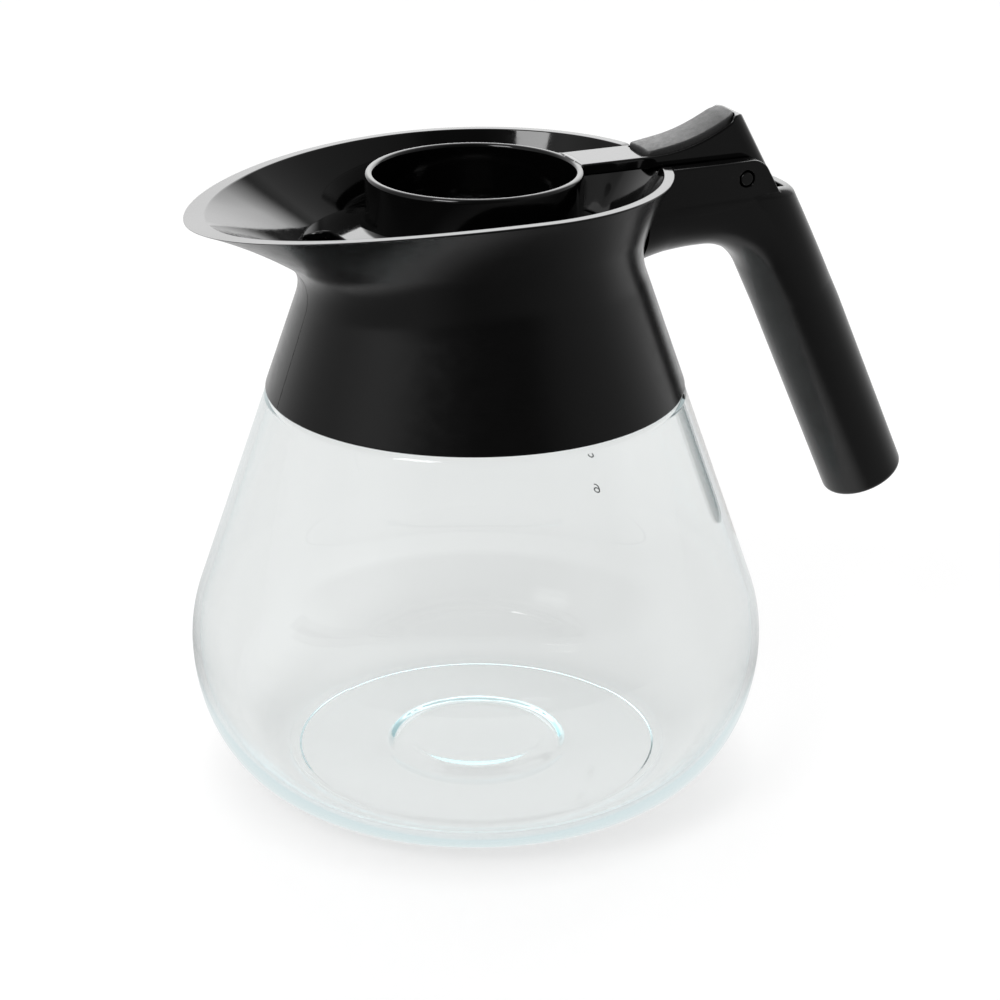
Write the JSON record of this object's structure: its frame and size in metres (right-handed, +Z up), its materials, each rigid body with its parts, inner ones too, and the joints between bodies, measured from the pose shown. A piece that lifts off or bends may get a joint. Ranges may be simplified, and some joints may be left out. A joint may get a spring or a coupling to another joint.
{
  "type": "glass coffee carafe",
  "caption": "Round glass coffee carafe with a black pouring collar and spout, a slanting round handle and a hinged brew-through lid tipped by a thumb lever.",
  "frame": {"origin": "on the surface that the carafe stands on, under the middle of its length from spout to grip", "axes": "+X toward the handle, -X toward the spout, +Z up; the carafe is its own mirror image about the XZ plane"},
  "size_m": [0.2202, 0.164, 0.1869],
  "materials": {
    "glass": "clear, polished",
    "silicone": "matt, translucent white",
    "satin_black": "satin, fine grain",
    "gloss_black": "glossy",
    "soft_grey": "soft touch, matt"
  },
  "bodies": {
    "base": {"glass_bowl": "glass", "mouth_gasket": "silicone", "skirt_seal": "silicone", "collar": "satin_black", "handle": "satin_black", "grip_end_plug": "satin_black", "hinge_pin": "satin_black"},
    "lid": {"lid": "gloss_black", "thumb_pad": "soft_grey"}
  },
  "joints": [
    {"name": "lid_hinge", "type": "hinge", "parent": "base", "child": "lid", "pos_m": [0.04972, 0, 0.1684], "axis": [0, 1, 0], "range_deg": [0, 90]}
  ]
}
